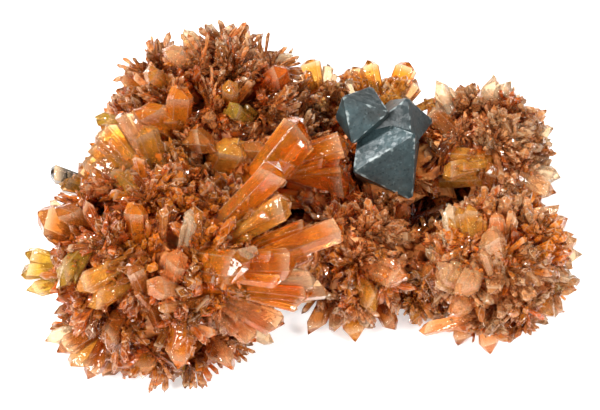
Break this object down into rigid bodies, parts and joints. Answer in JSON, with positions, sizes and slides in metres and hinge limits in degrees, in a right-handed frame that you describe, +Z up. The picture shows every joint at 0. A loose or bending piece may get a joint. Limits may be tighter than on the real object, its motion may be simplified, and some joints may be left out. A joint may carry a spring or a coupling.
{
  "type": "creedite cluster",
  "caption": "Loose mineral specimen of orange creedite prisms in radial sprays, with a group of blue-grey fluorite octahedra, on dark rock with a flat underside.",
  "frame": {"origin": "centre of the footprint's bounding box, on the surface that the specimen rests on", "axes": "+X to the viewer's right along the specimen's length, +Y away from the viewer, +Z up"},
  "size_m": [0.0858, 0.0649, 0.0363],
  "materials": {
    "creedite": "vitreous, translucent orange",
    "fluorite": "translucent blue-grey, finely etched",
    "rock": "rough, dull"
  },
  "bodies": {
    "root": {"creedite_cluster": "creedite", "fluorite_crystals": "fluorite", "matrix_rock": "rock"}
  },
  "joints": []
}
